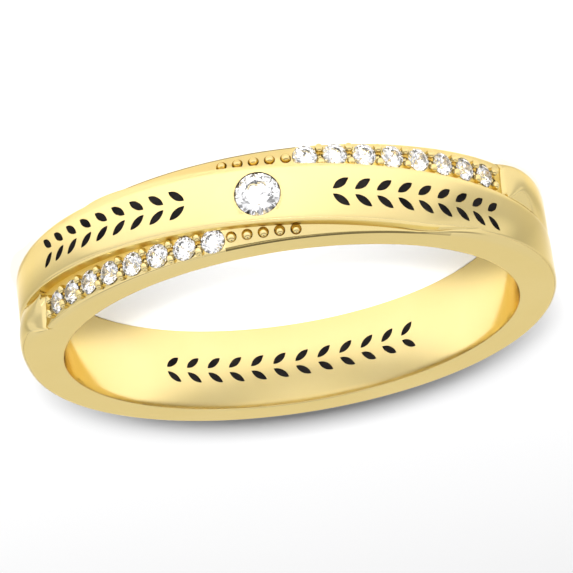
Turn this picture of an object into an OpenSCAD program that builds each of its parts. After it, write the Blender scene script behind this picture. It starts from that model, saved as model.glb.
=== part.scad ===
// Crossover ring: one cast gold band with a diagonal plate between two stone-set strands.
// +Z runs along the finger, the ring lies on its side, and the centre stone faces -Y.
// The design repeats after a half turn about Y: what stands at (angle, z) stands at (-angle, -z) too.

/* [Band] */
// Diameter of the finger hole
bore_d = 17.3; // [14:0.1:22]
// Width of the band along the finger
band_w = 3.42; // [3.1:0.02:4.2]
// Thickness of the metal at the centre stone
front_wall = 1.46; // [1.35:0.01:1.9]
// Thickness of the metal at the two sides of the finger
side_wall = 1.48; // [1.35:0.01:2]
// Thickness of the metal under the finger
palm_wall = 1.68; // [1.3:0.01:1.9]
// Rise of the outer surface from its edges to its middle
crown = 0.05; // [0.02:0.01:0.12]
// Rounding of the outer edges round the back of the band
shank_round = 0.34; // [0.15:0.01:0.4]

/* [Crossover plate] */
// Width of the plate between the two strands
plate_w = 2.16; // [1.8:0.02:2.4]
// Angle from the centre stone at which the plate's edge runs out at the side face
run_out_angle = 41.5; // [36:0.5:48]
// How far the plate's edge is eased off where it drops to a strand
edge_ease = 0.04; // [0.02:0.01:0.08]
// Width over which the plate's edge is eased off
edge_ease_w = 0.16; // [0.1:0.01:0.3]

/* [Strands] */
// Thickness of the metal in a strand, under its stones
strand_wall = 1.05; // [0.9:0.01:1.15]
// Rise of a strand's inner corner above its outer edge, along the stones
stone_rise = 0.04; // [0.02:0.01:0.16]
// Rise of a strand's inner corner above its outer edge, along the row of beads
trail_rise = 0.15; // [0.02:0.01:0.16]
// Rounding of a strand's outer edge beside the centre stone
strand_round = 0.06; // [0.03:0.01:0.1]
// Rounding of a strand's outer edge at the lip
lip_round = 0.16; // [0.1:0.01:0.3]
// Rise of a strand's outer edge towards the lip
edge_rise = 0.16; // [0:0.01:0.2]
// Length of a strand beyond its last stone, up to the lip of the shoulder
strand_tail = 1.0; // [0.8:0.05:1.3]
// Height of the shoulder's lip above the strand
lip_h = 0.13; // [0.1:0.01:0.3]
// Hollow of the shoulder's curved lip
lip_bow = 0.31; // [0.1:0.01:0.5]
// How far the lip's end at the plate reaches towards the stones
lip_lead_in = 0.27; // [0:0.01:0.3]
// How far the lip's end at the side face reaches towards the stones
lip_lead_out = 0.11; // [0:0.01:0.3]
// Depth of the groove that parts plate and shoulder
groove_depth = 0.24; // [0.1:0.01:0.35]
// Width over which each side of the groove is rounded
groove_round = 0.7; // [0.25:0.05:1.05]
// Rounding of the shoulder's outer edge
shoulder_round = 0.34; // [0.15:0.01:0.4]
// Rise of the shoulder's crest above the band beside it
shoulder_rise = 0.22; // [0:0.01:0.3]
// Length over which the shoulder rises behind its lip
dome_l = 1.3; // [0.6:0.1:2]

/* [Side stones] */
// Stones in each strand
stone_count = 8; // [5:1:8]
// Diameter of a side stone
stone_d = 0.86; // [0.76:0.01:0.92]
// Distance from one side stone to the next
stone_pitch = 1.06; // [1.03:0.01:1.15]
// Distance from the middle of the plate to the first side stone
stone_start = 1.8; // [1.7:0.05:2.2]
// Height of a side stone's girdle above its strand
stone_proud = 0.07; // [0.02:0.01:0.1]

/* [Centre stone] */
// Diameter of the centre stone
centre_d = 1.58; // [1.3:0.02:1.8]
// Thickness of the raised rim round the centre stone
rim_w = 0.09; // [0.07:0.01:0.12]

/* [Beads] */
// Diameter of a prong bead
prong_d = 0.26; // [0.16:0.01:0.28]
// Distance between the two prong beads of a pair
prong_gap = 0.53; // [0.5:0.01:0.6]
// Height of the prong beads' tops above the strand
prong_h = 0.2; // [0.16:0.01:0.3]
// Beads in the row that carries on from each strand
trail_count = 5; // [2:1:6]
// Diameter of the first bead of that row
trail_first_d = 0.34; // [0.28:0.01:0.38]
// Diameter of the last bead of that row
trail_last_d = 0.28; // [0.2:0.01:0.34]
// Distance from one bead of that row to the next
trail_pitch = 0.56; // [0.5:0.01:0.62]
// Distance from the first side stone to the first bead of that row
trail_gap = 0.67; // [0.62:0.01:0.8]
// Width of the dish round each bead of that row
dish_w = 0.39; // [0.36:0.01:0.44]
// Depth of the dish below the strand
dish_depth = 0.12; // [0.08:0.01:0.15]
// Depth of a bead's centre below the strand
bead_sunk = 0.02; // [0:0.01:0.06]
// Distance of that row from the strand's middle line, towards the plate
trail_in = 0.05; // [0:0.01:0.08]

/* [Enamel leaves] */
// Pairs of leaves on each half of the plate
plate_pairs = 9; // [4:1:10]
// Pairs of leaves inside the band
inside_pairs = 12; // [4:1:14]
// Distance from the middle of the plate to the first pair
leaf_start = 2.5; // [2.2:0.05:3]
// Distance from one pair to the next
leaf_pitch = 0.79; // [0.7:0.01:1]
// Distance from one pair to the next inside the band
inside_pitch = 0.92; // [0.75:0.01:1.1]
// Length of a leaf
leaf_l = 0.68; // [0.4:0.01:0.7]
// Width of a leaf
leaf_w = 0.26; // [0.12:0.01:0.28]
// Slant of a leaf away from the line of the sprig
leaf_slant = 36; // [20:1:50]
// Distance of a leaf's middle from the line of the sprig
leaf_offset = 0.31; // [0.26:0.01:0.36]
// Depth of the engraved leaves
leaf_depth = 0.1; // [0.06:0.01:0.15]
// Angle of the middle of the inside sprig, from the centre stone
inside_angle = 184.4; // [150:0.1:210]

/* [Clearances] */
// Clearance round a stone in its seat
stone_gap = 0.02; // [0.01:0.005:0.03]
// Clearance round an enamel leaf in its engraving
leaf_gap = 0.015; // [0.01:0.005:0.03]
// Depth of the enamel's surface below the metal
leaf_sunk = 0.015; // [0.01:0.005:0.03]

/* [Hidden] */
sides = [["upper", 0], ["lower", 180]];
stone_names = [for (s = sides) for (i = [1:stone_count]) str(s[0], "_stone_", i)];

gold = "#e2c76c";
clear = "#e9edf2";
black = "#16140f";

bore_r = bore_d / 2;
half_w = band_w / 2;
core_r = bore_r - 1;
strand_r = bore_r + strand_wall;
climb = (half_w - plate_w / 2) / sin(run_out_angle);

// The plate's edge leans by draft, and its strand never gets narrower than narrowest_strand
draft = 0.04;
narrowest_strand = 0.03;
side_gap = 0.005;
overcut = 1;
weld = 0.1;

half_round = 180;
function arc_angle(length, radius) = length / radius * half_round / PI;
function share_of(from, to, x) = min(1, max(0, (x - from) / (to - from)));
function ease(from, to, x) = let (s = share_of(from, to, x)) s * s * (3 - 2 * s);

// Angles along a strand, counted from the centre stone towards the shoulder
pitch_angle = arc_angle(stone_pitch, strand_r);
start_angle = arc_angle(stone_start, strand_r);
end_angle = start_angle + arc_angle((stone_count - 1) * stone_pitch + strand_tail, strand_r);
dome_angle = end_angle + arc_angle(dome_l, strand_r);
function stone_angle(i) = -start_angle - i * pitch_angle;
function trail_angle(i) = -start_angle + arc_angle(trail_gap + i * trail_pitch, strand_r);

// Angles where the shoulder, the groove and the rolled edge fade into the plain band
rise_gone = 90;
groove_from = 88;
groove_gone = 125;
fade_before = 6;
fade_after = 14;
edge_lost = asin((half_w - narrowest_strand - draft - plate_w / 2) / climb);
edge_fade = [edge_lost - fade_before, edge_lost + fade_after];
spread_gone = [60, 150];

// Lines that cross the ring. At angle t they serve the side whose strand lies at negative t
function plate_edge(t) = plate_w / 2 + climb * sin(t);
function strand_foot(t) = min(plate_edge(t) + draft, half_w - narrowest_strand);
function plate_middle(t) = (strand_foot(t) - strand_foot(-t)) / 2;
function strand_middle(t) = (plate_edge(t) + half_w) / 2;
function row_z(t) = min(strand_middle(t), half_w - side_gap - stone_d / 2);
function trail_z(t) = strand_middle(t) - trail_in;

// Radius of a strand's land, which slopes from its inner corner down to its outer edge. Towards the lip
// its outer edge turns up
full_rise_w = 0.6;
rise_from = -14;
rise_full = -7;
edge_rise_from = 32;
edge_power = 3;
function land_r(t, z) =
    let (foot = strand_foot(t), land = half_w - foot,
         rise = stone_rise + (trail_rise - stone_rise) * ease(rise_from, rise_full, t),
         turned_up = edge_rise * ease(edge_rise_from, end_angle, -t), across = (z - foot) / land)
    strand_r + rise * min(1, land / full_rise_w) * (1 - across) + turned_up * pow(across, edge_power);

// Radius of the metal's outer surface, before the strands and grooves are cut
quarter_turn = 90;
function wall(t) = side_wall + ((abs(t) < quarter_turn ? front_wall : palm_wall) - side_wall) * pow(cos(t), 2);
function surface_r(t, z) = bore_r + wall(t) - crown * pow(z / half_w, 2);

// The plate's edge is eased a little along the stones, rolls down to the low lip and comes up again behind it
roll_before = 12;
roll_after = [1, 10];
roll_left = 0.2;
function roll(t) = ease(end_angle - roll_before, end_angle, -t)
    * (1 - (1 - roll_left) * ease(end_angle + roll_after[0], end_angle + roll_after[1], -t));
function edge_dip(t) = edge_ease + (groove_depth - edge_ease) * roll(t);
function edge_round(t) = edge_ease_w + (groove_round - edge_ease_w) * roll(t);
dip_power = 1.7;
function dip_share(t, distance) = pow(1 - min(1, distance / edge_round(t)), dip_power);
function dipped_r(t, z, distance) = surface_r(t, z) - edge_dip(t) * dip_share(t, distance);

// Half outlines of the band's section, each with the same number of [z, radius] points, from the
// middle of the plate to the side face. Each stretch places its points by shares of its width
plate_shares = [0, 0.4, 0.72, 0.9, 1];
land_shares = [0, 0.35, 0.7];
shoulder_shares = [0.15, 0.42, 0.75];
quarter = [0, 22.5, 45, 67.5, 90];
round_share = 0.6;
round_from_angle = 4;
round_full_angle = 50;

function plate_part(t, edge) =
    [for (s = plate_shares) let (z = plate_middle(t) + (edge - plate_middle(t)) * s) [z, dipped_r(t, z, edge - z)]];

function rounded_end(radius, round) =
    [for (a = quarter) [half_w - round + round * sin(a), radius - round + round * cos(a)]];

function strand_outline(t) =
    let (foot = strand_foot(t), land = half_w - foot, grown = ease(round_from_angle, round_full_angle, -t),
         round = min(strand_round + (lip_round - strand_round) * grown, land * round_share))
    concat(
        plate_part(t, foot - draft),
        [for (s = land_shares) let (z = foot + (land - round) * s) [z, land_r(t, z)]],
        rounded_end(land_r(t, half_w - round), round));

function shoulder_outline(t) =
    let (edge = strand_foot(t) - draft, land = half_w - shoulder_round - edge,
         rise = shoulder_rise * (1 - ease(dome_angle, rise_gone, -t)))
    concat(
        plate_part(t, edge),
        [for (s = shoulder_shares) let (z = edge + land * s) [z, dipped_r(t, z, z - edge) + rise * s * (2 - s)]],
        rounded_end(surface_r(t, half_w) + rise, shoulder_round));

// The plain outline places its points by q: 0 at the middle, 1 where the edge's rounding starts, 2 at the side face
round_from = half_w - shank_round;
function plain_point(t, q) =
    let (z = plate_middle(t) + (round_from - plate_middle(t)) * q, a = (q - 1) * 90)
    q < 1 ? [z, surface_r(t, z)]
          : [round_from + shank_round * sin(a), surface_r(t, round_from) - shank_round * (1 - cos(a))];

groove_clear = 0.1;
function groove_q(t) =
    (min(plate_edge(t), round_from - groove_clear) - plate_middle(t)) / (round_from - plate_middle(t));
function spread_columns(t) = concat(
    [for (s = plate_shares) s * groove_q(t)],
    [for (s = shoulder_shares) groove_q(t) + (1 - groove_q(t)) * s],
    [for (a = quarter) 1 + a / 90]);
run_out_columns = concat(plate_shares, [1.3, 1.45, 1.6], [1.68, 1.76, 1.84, 1.92, 2]);

function plain_outline(t) =
    let (share = t < 0 ? 0 : 1 - ease(spread_gone[0], spread_gone[1], t),
         columns = spread_columns(t) * (1 - share) + run_out_columns * share)
    [for (q = columns) plain_point(t, q)];

// Shares of the shoulder's and the plain outline at angle t. The shoulder stands up at the lip, then rises like a dome.
// Beside the plate, where s is 0, the lip is as high as the plate's edge
lip_steps = [-0.35, 0.15];
lip_share = lip_h / (side_wall + shoulder_rise - strand_wall);
lip_power = 3;
dome_power = 3;
function shoulder_share(t, s) =
    let (lip = lip_share + (1 - lip_share) * pow(1 - s, lip_power),
         up = share_of(end_angle + lip_steps[0], end_angle + lip_steps[1], -t),
         dome = 1 - pow(1 - share_of(end_angle + lip_steps[1], dome_angle, -t), dome_power))
    lip * up + (1 - lip) * dome;
function plain_share(t) = t < 0 ? ease(groove_from, groove_gone, -t) : ease(edge_fade[0], edge_fade[1], t);

function blended(first, second, shares) =
    [for (k = [0:len(shares) - 1]) first[k] * (1 - shares[k]) + second[k] * shares[k]];

land_span = concat([for (s = plate_shares) 0], shoulder_shares, [for (a = quarter) 1]);
function half_outline(t) =
    let (cut = blended(strand_outline(t), shoulder_outline(t), [for (s = land_span) shoulder_share(t, s)]))
    concat(cut * (1 - plain_share(t)) + plain_outline(t) * plain_share(t), [[half_w, core_r]]);

// The lip is hollow: its middle stands back from its two ends, which reach towards the stones
last_column = len(run_out_columns);
plate_column = len(plate_shares) - 1;
bow_reach = [0.5, 8];
function lip_shift(t, k) =
    let (s = share_of(plate_column, last_column - 1, k),
         near = 1 - ease(bow_reach[0], bow_reach[1], abs(t + end_angle)),
         lead = lip_lead_in * (1 - s) * share_of(0, plate_column, k) + lip_lead_out * s)
    near * arc_angle(lead - 4 * lip_bow * s * (1 - s), strand_r);

function on_band(a, z, r) = [-r * sin(a), -r * cos(a), z];
function half_section(t, turn) =
    let (outline = half_outline(t))
    [for (k = [0:last_column]) turn * on_band(t + lip_shift(t, k), outline[k][0], outline[k][1])];

// Rows of points round the band, closer together at the lips
front_rows = 19;
front_gap = 1.2;
front_end = end_angle - front_gap;
lip_rows = [lip_steps[0], lip_steps[1], 1, 2, 3.3, 5, 7.2, 10.5];
side_rows = 8;
side_from = end_angle + lip_rows[len(lip_rows) - 1];
back_rows = 8;
row_half = concat(
    [for (i = [1:front_rows]) i * front_end / front_rows],
    [for (d = lip_rows) end_angle + d],
    [for (i = [1:side_rows]) side_from + i * (groove_gone - side_from) / side_rows],
    [for (i = [1:back_rows]) groove_gone + i * (180 - groove_gone) / (back_rows + 1)]);
rows = concat([for (i = [len(row_half) - 1:-1:0]) -row_half[i]], [0], row_half, [180]);
half_turn = [[-1, 0, 0], [0, 1, 0], [0, 0, -1]];
whole = [[1, 0, 0], [0, 1, 0], [0, 0, 1]];

function section(a) =
    let (low = half_section(a, whole), high = half_section(-a, half_turn))
    concat([for (k = [last_column:-1:1]) high[k]], low);

module loop_skin(loops) {
    n = len(loops[0]);
    m = len(loops);
    polyhedron(
        points = [for (l = loops) for (p = l) p],
        faces = [for (i = [0:m - 1]) for (j = [0:n - 1])
            let (a = i * n + j, b = i * n + (j + 1) % n, c = (i + 1) % m * n + (j + 1) % n, d = (i + 1) % m * n + j)
            each [[a, c, b], [a, d, c]]],
        convexity = 10);
}

// Puts its children on the band with their Z outwards and their Y along the finger
module on_ring(a, z, r) {
    rotate([0, 0, -a]) translate([0, -r, z]) rotate([90, 0, 0]) children();
}

module each_side() {
    for (s = sides) rotate([0, s[1], 0]) children();
}

// Round brilliant with its girdle's top edge at z = 0
mains = 8;
halves = 2 * mains;
half_step = 180 / mains;
table_share = 0.56;
star_share = 0.78;
low_share = 0.24;
crown_share = 0.15;
girdle_share = 0.03;
pavilion_share = 0.43;

module brilliant(d) {
    r = d / 2;
    top = d * crown_share;
    girdle = d * girdle_share;
    deep = d * pavilion_share;
    star_z = top * (1 - star_share * cos(half_step)) / (1 - table_share);
    low_z = -girdle - deep * (1 - low_share * cos(half_step));
    function ring(n, radius, z, first) =
        [for (i = [0:n - 1]) let (a = first + i * 360 / n) [radius * cos(a), radius * sin(a), z]];
    star = mains;
    girdle_top = 2 * mains;
    girdle_low = girdle_top + halves;
    low = girdle_low + halves;
    culet = low + mains;
    polyhedron(
        points = concat(
            ring(mains, r * table_share, top, 0),
            ring(mains, r * star_share, star_z, half_step),
            ring(halves, r, 0, 0),
            ring(halves, r, -girdle, 0),
            ring(mains, r * low_share, low_z, half_step),
            [[0, 0, -girdle - deep]]),
        faces = concat(
            [[for (i = [mains - 1:-1:0]) i]],
            [for (i = [0:mains - 1]) let (next = (i + 1) % mains, mid = girdle_top + 2 * i, left = mid + 1)
                each [
                    [i, next, star + i],
                    [i, star + i, mid, star + (i + mains - 1) % mains],
                    [star + i, left, mid],
                    [star + i, girdle_top + 2 * next, left],
                    [low + i, mid + halves, left + halves],
                    [low + i, left + halves, girdle_low + 2 * next],
                    [culet, low + (i + mains - 1) % mains, mid + halves, low + i]]],
            [for (i = [0:halves - 1]) let (next = (i + 1) % halves)
                [girdle_top + i, girdle_top + next, girdle_low + next, girdle_low + i]]));
}

// Room for a stone of diameter d whose girdle's top edge is at z = 0
seat_sides = 64;
bore_sides = 180;
seat_tip = 0.01;
lap = 0.001;

module seat(d, rise) {
    r = d / 2 + stone_gap;
    girdle = d * girdle_share;
    deep = d * pavilion_share + stone_gap;
    translate([0, 0, -girdle]) cylinder(r = r, h = girdle + rise, $fn = seat_sides);
    translate([0, 0, -girdle - deep]) cylinder(r1 = seat_tip, r2 = r, h = deep + lap, $fn = seat_sides);
}

stone_r = strand_r + stone_proud;
centre_r = bore_r + front_wall - crown;
bead_sides = 32;

module band() {
    color(gold) {
        difference() {
            loop_skin([for (a = rows) section(a)]);
            cylinder(r = bore_r, h = 2 * band_w, center = true, $fn = bore_sides);
            on_ring(0, 0, centre_r) seat(centre_d, overcut);
            each_side() strand_cuts();
            each_side() plate_sprig(leaf_gap, 0, overcut);
            inside_sprig(leaf_gap, 0, overcut);
        }
        centre_rim();
        each_side() strand_beads();
    }
}

// The rim stands clear of the seat's wall and rises out of the plate
rim_clear = 0.01;
rim_up = 0.015;

module centre_rim() {
    on_ring(0, 0, centre_r + rim_up)
        rotate_extrude($fn = seat_sides)
            translate([centre_d / 2 + stone_gap + rim_clear + rim_w / 2, 0])
                circle(d = rim_w, $fn = bead_sides);
}

dish_r = (dish_w * dish_w / 4 + dish_depth * dish_depth) / (2 * dish_depth);

module strand_cuts() {
    for (i = [0:stone_count - 1]) {
        t = stone_angle(i);
        on_ring(t, row_z(t), stone_r) seat(stone_d, stone_d * crown_share);
    }
    for (i = [0:trail_count - 1]) {
        t = trail_angle(i);
        on_ring(t, trail_z(t), land_r(t, trail_z(t)) + dish_r - dish_depth) sphere(r = dish_r, $fn = bead_sides);
    }
}

module strand_beads() {
    for (i = [0:stone_count - 1]) {
        t = stone_angle(i + 0.5);
        for (side = [-1, 1]) {
            z = row_z(t) + side * prong_gap / 2;
            on_ring(t, z, land_r(t, z)) prong();
        }
    }
    for (i = [0:trail_count - 1]) {
        t = trail_angle(i);
        d = trail_first_d + (trail_last_d - trail_first_d) * i / (trail_count - 1);
        on_ring(t, trail_z(t), land_r(t, trail_z(t)) - bead_sunk) sphere(d = d, $fn = bead_sides);
    }
}

stem_share = 0.85;

module prong() {
    ball_z = prong_h - prong_d / 2;
    translate([0, 0, ball_z]) sphere(d = prong_d, $fn = bead_sides);
    translate([0, 0, -weld]) cylinder(d = prong_d * stem_share, h = weld + ball_z, $fn = bead_sides);
}

module centre_stone() {
    color(clear) on_ring(0, 0, centre_r) brilliant(centre_d);
}

module side_stone(i) {
    t = stone_angle(i);
    color(clear) on_ring(t, row_z(t), stone_r) brilliant(stone_d);
}

// A leaf is the lens between two round edges, with flat faces and grown by a gap all round
leaf_sides = 96;

module leaf(gap, h) {
    half_l = leaf_l / 2 + gap * 2;
    half_b = leaf_w / 2 + gap;
    r = (half_l * half_l + half_b * half_b) / (2 * half_b);
    intersection_for (side = [-1, 1]) translate([0, side * (r - half_b), 0]) cylinder(r = r, h = h, $fn = leaf_sides);
}

module leaf_pair(gap, h) {
    for (side = [-1, 1]) translate([0, side * leaf_offset, 0]) rotate([0, 0, side * leaf_slant]) leaf(gap, h);
}

// Sprigs of leaf pairs: grown by a gap, lifted off the floor of the engraving by lift, and running past
// the metal's surface by over, which is below zero for the enamel
module plate_sprig(gap, lift, over) {
    for (i = [0:plate_pairs - 1]) {
        a = arc_angle(leaf_start + (i + 0.5) * leaf_pitch, bore_r + front_wall);
        z = climb * sin(a);
        slope = atan(climb * cos(a) / surface_r(a, 0));
        on_ring(a, z, surface_r(a, z) - leaf_depth + lift)
            rotate([0, 0, 180 - slope]) leaf_pair(gap, leaf_depth - lift + over);
    }
}

module inside_sprig(gap, lift, over) {
    for (i = [0:inside_pairs - 1]) {
        a = inside_angle + arc_angle((i - (inside_pairs - 1) / 2) * inside_pitch, bore_r);
        on_ring(a, 0, bore_r - over) leaf_pair(gap, leaf_depth - lift + over);
    }
}

band();
centre_stone();
for (s = sides) for (i = [1:stone_count])
    rotate([0, s[1], 0]) side_stone(i - 1);
color(black) plate_sprig(0, leaf_gap, -leaf_sunk);  // leaves_right
color(black) rotate([0, 180, 0]) plate_sprig(0, leaf_gap, -leaf_sunk);  // leaves_left
color(black) inside_sprig(0, leaf_gap, -leaf_sunk);  // leaves_inside
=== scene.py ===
"""Looks of a crossover ring: one cast gold band, seventeen clear stones and black enamel leaf sprigs."""

import logging
from dataclasses import dataclass, field
from enum import Enum
from math import asin, atan, cos, degrees, pi, radians, sin
from typing import Callable, Iterable, Sequence

import bpy
import numpy as np
from mathutils import Matrix, Vector


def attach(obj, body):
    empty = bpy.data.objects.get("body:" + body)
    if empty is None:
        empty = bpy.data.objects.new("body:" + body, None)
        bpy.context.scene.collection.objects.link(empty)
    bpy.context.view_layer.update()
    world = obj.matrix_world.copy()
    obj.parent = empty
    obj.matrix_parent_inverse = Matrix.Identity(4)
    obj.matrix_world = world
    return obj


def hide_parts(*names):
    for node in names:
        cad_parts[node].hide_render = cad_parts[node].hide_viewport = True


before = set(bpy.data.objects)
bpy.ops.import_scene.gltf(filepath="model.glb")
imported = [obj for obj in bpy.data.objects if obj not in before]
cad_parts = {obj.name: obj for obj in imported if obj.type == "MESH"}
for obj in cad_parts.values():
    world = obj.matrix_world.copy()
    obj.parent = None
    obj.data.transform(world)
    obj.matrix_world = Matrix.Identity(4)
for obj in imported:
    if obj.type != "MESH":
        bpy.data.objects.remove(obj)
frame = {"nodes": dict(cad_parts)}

log = logging.getLogger("crossover_ring")

MM = 0.001
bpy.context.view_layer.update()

Piece = bpy.types.Object
Point = tuple[float, float]
Colour = tuple[float, float, float, float]


def share_of(start: float, end: float, x: float) -> float:
    """Tells how far x has come from start to end, held between 0 and 1."""
    return min(1.0, max(0.0, (x - start) / (end - start)))


def ease(start: float, end: float, x: float) -> float:
    """Gives share_of with a soft start and a soft end."""
    s = share_of(start, end, x)
    return s * s * (3.0 - 2.0 * s)


def arc_angle(length: float, radius: float) -> float:
    """Turns a length along an arc of a radius into degrees."""
    return degrees(length / radius)


def spread(count: int, power: float = 1.0) -> list[float]:
    """Places shares from 0 to 1, closer together towards 1 for a power above 1."""
    return [1.0 - (1.0 - i / (count - 1)) ** power for i in range(count)]


# ---- Shader maths ----


@dataclass(frozen=True)
class Signal:
    """One output of a node tree, which can be used in arithmetic."""

    tree: "NodeSheet"
    socket: bpy.types.NodeSocket

    def _with(self, operation: str, first: "Signal | float", second: "Signal | float") -> "Signal":
        """Adds one Math node with this operation and gives its result."""
        return self.tree.node("ShaderNodeMath", {"operation": operation}, {0: first, 1: second})

    def __add__(self, other: "Signal | float") -> "Signal":
        """Adds."""
        return self._with("ADD", self, other)

    __radd__ = __add__

    def __sub__(self, other: "Signal | float") -> "Signal":
        """Subtracts."""
        return self._with("SUBTRACT", self, other)

    def __rsub__(self, other: float) -> "Signal":
        """Subtracts, reflected."""
        return self._with("SUBTRACT", other, self)

    def __mul__(self, other: "Signal | float") -> "Signal":
        """Multiplies."""
        return self._with("MULTIPLY", self, other)

    __rmul__ = __mul__

    def size(self) -> "Signal":
        """Gives the value without its sign."""
        return self._with("ABSOLUTE", self, 0.0)

    def share(self, start: float, end: float) -> "Signal":
        """Tells how far the value has come from start to end, held between 0 and 1."""
        way = (self - start) * (1.0 / (end - start))
        return self._with("MINIMUM", self._with("MAXIMUM", way, 0.0), 1.0)


class NodeSheet:
    """A node tree that is filled node by node."""

    def __init__(self, tree: bpy.types.NodeTree) -> None:
        """Clears the tree.

        Args:
            tree: the node tree of a material or a world.
        """
        self.tree = tree
        tree.nodes.clear()

    def node(
        self,
        kind: str,
        settings: dict[str, object] | None = None,
        inputs: dict[int | str, object] | None = None,
        output: int | str = 0,
    ) -> Signal:
        """Adds one node.

        Args:
            kind: the node's type name.
            settings: its settings.
            inputs: values or signals by socket name or number.
            output: the output that is wanted.

        Returns:
            The wanted output as a signal.
        """
        made = self.tree.nodes.new(kind)
        for key, value in (settings or {}).items():
            setattr(made, key, value)
        for key, value in (inputs or {}).items():
            if isinstance(value, Signal):
                self.tree.links.new(value.socket, made.inputs[key])
            else:
                made.inputs[key].default_value = value
        return Signal(self, made.outputs[output])

    def place(self) -> Signal:
        """Gives the Object coordinates."""
        return self.node("ShaderNodeTexCoord", output="Object")

    def noise(self, where: Signal, size: float, detail: float = 2.0, roughness: float = 0.5) -> Signal:
        """Adds a noise pattern from about 0.3 to 0.7, whose blotches are size metres wide."""
        settings = {"Vector": where, "Scale": 1.0 / size, "Detail": detail, "Roughness": roughness}
        return self.node("ShaderNodeTexNoise", None, settings)

    def blend(self, share: Signal | float, first: object, second: object) -> Signal:
        """Mixes two colours or signals by the share of the second one."""
        return self.node("ShaderNodeMix", {"data_type": "RGBA"}, {0: share, 6: first, 7: second}, 2)

    def bump(self, height: Signal, depth: float, strength: float) -> Signal:
        """Turns a height pattern, depth metres high, into normals."""
        return self.node("ShaderNodeBump", None, {"Height": height, "Distance": depth, "Strength": strength})

    def surface(self, sockets: dict[str, object]) -> None:
        """Ends the tree in a Principled shader with these sockets."""
        shader = self.node("ShaderNodeBsdfPrincipled", None, sockets)
        self.node_out("ShaderNodeOutputMaterial", shader)

    def node_out(self, kind: str, shader: Signal) -> None:
        """Adds an output node that shows this shader."""
        made = self.tree.nodes.new(kind)
        self.tree.links.new(shader.socket, made.inputs["Surface"])


class Finish:
    """Base of the finishes: a named material that is made once."""

    name = "finish"

    def fill(self, sheet: NodeSheet) -> None:
        """Fills the node tree.

        Args:
            sheet: the empty tree.
        """
        raise NotImplementedError

    def material(self) -> bpy.types.Material:
        """Gives the material, made on first use.

        Returns:
            The material.
        """
        found = bpy.data.materials.get(self.name)
        if found is None:
            found = bpy.data.materials.new(self.name)
            found.use_nodes = True
            self.fill(NodeSheet(found.node_tree))
        return found

    def dress(self, piece: Piece) -> None:
        """Gives the piece this material alone."""
        piece.data.materials.clear()
        piece.data.materials.append(self.material())


@dataclass(frozen=True)
class PolishedGold(Finish):
    """Pale yellow gold, polished by hand, with fine hairlines."""

    name: str = "polished_gold"
    light: Colour = (0.7, 0.568, 0.27, 1.0)
    deep: Colour = (0.68, 0.545, 0.243, 1.0)
    edge_tint: Colour = (0.93, 0.84, 0.6, 1.0)
    gloss: float = 0.1
    gloss_spread: float = 0.1
    tint_size: float = 0.0035
    tint_span: Point = (0.2917, 0.7083)
    smear_size: float = 0.0012
    hairline_size: float = 0.00009
    hairline_depth: float = 0.0000006
    hairline_stretch: float = 9.0
    hairline_gloss: float = 0.05

    def base(self, sheet: NodeSheet, where: Signal) -> Signal:
        """Gives the colour, which shifts a little from place to place."""
        tint = sheet.noise(where, self.tint_size, 3.0)
        return sheet.blend(tint.share(*self.tint_span), self.deep, self.light)

    def fill(self, sheet: NodeSheet) -> None:
        """Fills the node tree.

        Args:
            sheet: the empty tree.
        """
        where = sheet.place()
        smear = sheet.noise(where, self.smear_size, 4.0, 0.6)
        along = sheet.node("ShaderNodeMapping", None, {"Vector": where, "Scale": (1.0, 1.0, self.hairline_stretch)})
        hairline = sheet.noise(along, self.hairline_size, 3.0, 0.7)
        sheet.surface(
            {
                "Base Color": self.base(sheet, where),
                "Metallic": 1.0,
                "Roughness": self.gloss + self.gloss_spread * (smear - 0.5) + self.hairline_gloss * hairline,
                "Specular Tint": self.edge_tint,
                "Normal": sheet.bump(hairline, self.hairline_depth, 0.35),
            }
        )


@dataclass(frozen=True)
class ChannelGoldPaintedReflection(PolishedGold):
    """The satin gold of the recesses that a polishing wheel can't reach, painted a deeper orange as a painted
    reflection of the gold walls round it.
    """

    name: str = "channel_gold_painted_reflection"
    # painted reflection: deeper, more orange tones that stand in for light bounced between the recess walls
    light: Colour = (0.84, 0.66, 0.24, 1.0)
    deep: Colour = (0.72, 0.54, 0.17, 1.0)
    edge_tint: Colour = (0.95, 0.8, 0.4, 1.0)
    gloss: float = 0.36
    hairline_depth: float = 0.0000012


@dataclass(frozen=True)
class EdgeGoldPaintedShadeReflection(PolishedGold):
    """Gold along a strand's outer edge, with a painted dark reflection of the shaded floor under the ring beside the
    row of beads.
    """

    name: str = "edge_gold_painted_shade_reflection"
    # painted dark reflection: the colour the edge would mirror from the shaded floor under the ring
    shade_reflection: Colour = (0.2, 0.155, 0.06, 1.0)
    shade_reflection_full_to: float = 0.0048
    shade_reflection_gone_at: float = 0.0072

    def base(self, sheet: NodeSheet, where: Signal) -> Signal:
        """Gives the colour, with the painted dark reflection near the middle of the ring."""
        # mask of the painted dark reflection: full near the middle of the ring, fading out further along X
        across = sheet.node("ShaderNodeSeparateXYZ", None, {0: where}).size()
        return sheet.blend(across.share(self.shade_reflection_full_to, self.shade_reflection_gone_at), self.shade_reflection, super().base(sheet, where))


@dataclass(frozen=True)
class ClearStone(Finish):
    """A clear cut stone with a faint lilac shift from place to place."""

    name: str = "clear_stone"
    clear: Colour = (1.0, 1.0, 1.0, 1.0)
    tinted: Colour = (0.94, 0.93, 0.98, 1.0)
    bend: float = 2.15
    shift_size: float = 0.00035
    shift_span: Point = (0.3333, 0.6667)

    def fill(self, sheet: NodeSheet) -> None:
        """Fills the node tree.

        Args:
            sheet: the empty tree.
        """
        shift = sheet.noise(sheet.place(), self.shift_size, 2.0)
        sheet.surface(
            {
                "Base Color": sheet.blend(shift.share(*self.shift_span), self.clear, self.tinted),
                "Roughness": 0.01 * shift,
                "IOR": self.bend,
                "Transmission Weight": 1.0,
            }
        )


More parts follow.
